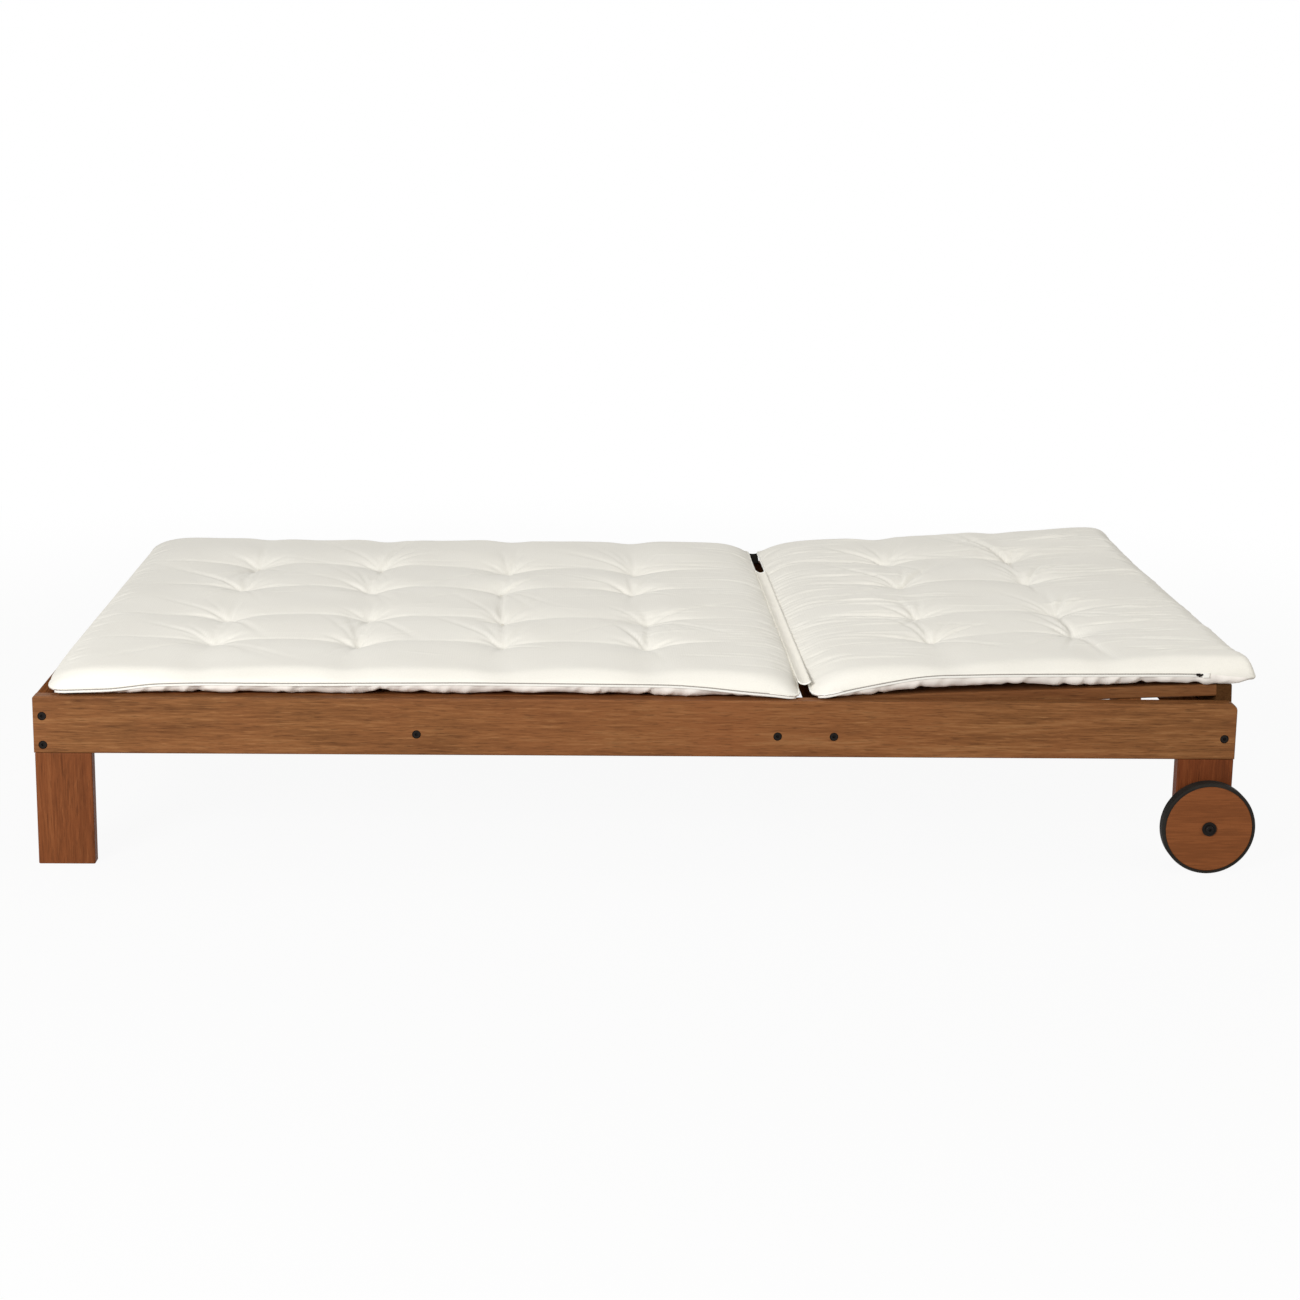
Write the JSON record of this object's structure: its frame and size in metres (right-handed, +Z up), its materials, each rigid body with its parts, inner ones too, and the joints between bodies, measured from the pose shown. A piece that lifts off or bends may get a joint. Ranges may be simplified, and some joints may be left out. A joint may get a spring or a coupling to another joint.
{
  "type": "double chaise lounger",
  "caption": "Low double chaise lounger with a slatted timber frame, folding backrest with a notched prop, wheels at the head end and a tufted two-part cushion.",
  "frame": {"origin": "on the floor, under the middle of the whole object's length and width", "axes": "+X along the length towards the head end with the backrest and the wheels, +Y across, +Z up"},
  "size_m": [2.0356, 1.3206, 0.3577],
  "materials": {
    "wood": "oiled reddish brown hardwood",
    "black_steel": "black coated steel",
    "zinc_steel": "zinc plated",
    "prop_steel": "dark coated round bar",
    "tyre_rubber": "matte black rubber",
    "bush_plastic": "moulded nylon",
    "cushion_cloth": "woven off-white polyester"
  },
  "bodies": {
    "base": {"side_rail_near": "wood", "side_rail_far": "wood", "foot_leg_near": "wood", "foot_leg_far": "wood", "head_leg_near": "wood", "head_leg_far": "wood", "foot_post_near": "wood", "foot_post_far": "wood", "head_post_near": "wood", "head_post_far": "wood", "prop_rack_near": "wood", "prop_rack_far": "wood", "foot_end_rail": "wood", "head_end_rail": "wood", "middle_beam": "wood", "rear_beam": "wood", "hinge_beam": "wood", "foot_ledger": "wood", "seat_slat_1": "wood", "seat_slat_2": "wood", "seat_slat_3": "wood", "seat_slat_4": "wood", "seat_slat_5": "wood", "seat_slat_6": "wood", "seat_slat_7": "wood", "seat_slat_8": "wood", "rail_bolts": "black_steel", "axle_bolts": "black_steel", "axle_washers": "black_steel", "axle_nuts": "black_steel", "barrel_nuts": "zinc_steel", "hinge_brackets": "zinc_steel", "seat_cushion": "cushion_cloth", "cushion_band": "cushion_cloth"},
    "backrest": {"back_slat_1": "wood", "back_slat_2": "wood", "back_slat_3": "wood", "back_slat_4": "wood", "back_slat_5": "wood", "back_slat_6": "wood", "back_slat_7": "wood", "back_slat_8": "wood", "back_batten_1": "wood", "back_batten_2": "wood", "back_batten_3": "wood", "back_end_rail": "wood", "hinge_rod": "zinc_steel", "prop_clevises": "zinc_steel", "prop_pins": "zinc_steel", "back_cushion": "cushion_cloth"},
    "prop": {"prop_arm_near": "prop_steel", "prop_arm_far": "prop_steel", "prop_brace": "prop_steel"},
    "wheel_near": {"wheel_disc_near": "wood", "tyre_near": "tyre_rubber", "wheel_bush_near": "bush_plastic"},
    "wheel_far": {"wheel_disc_far": "wood", "tyre_far": "tyre_rubber", "wheel_bush_far": "bush_plastic"}
  },
  "joints": [
    {"name": "backrest_hinge", "type": "hinge", "parent": "base", "child": "backrest", "pos_m": [0.30825, 0, 0.278], "axis": [0, -1, 0], "range_deg": [0, 60], "deforming": ["cushion_band"]},
    {"name": "prop_pivot", "type": "hinge", "parent": "backrest", "child": "prop", "pos_m": [0.58102, 0, 0.26365], "axis": [0, -1, 0], "range_deg": [-120, 0]},
    {"name": "wheel_spin_near", "type": "hinge", "parent": "base", "child": "wheel_near", "pos_m": [0.93925, -0.63765, 0.0785], "axis": [0, 1, 0], "continuous": true},
    {"name": "wheel_spin_far", "type": "hinge", "parent": "base", "child": "wheel_far", "pos_m": [0.93925, 0.63765, 0.0785], "axis": [0, 1, 0], "continuous": true}
  ],
  "couplings": [
    {"joint": "prop_pivot", "follows": "backrest_hinge", "ratio": -2}
  ]
}
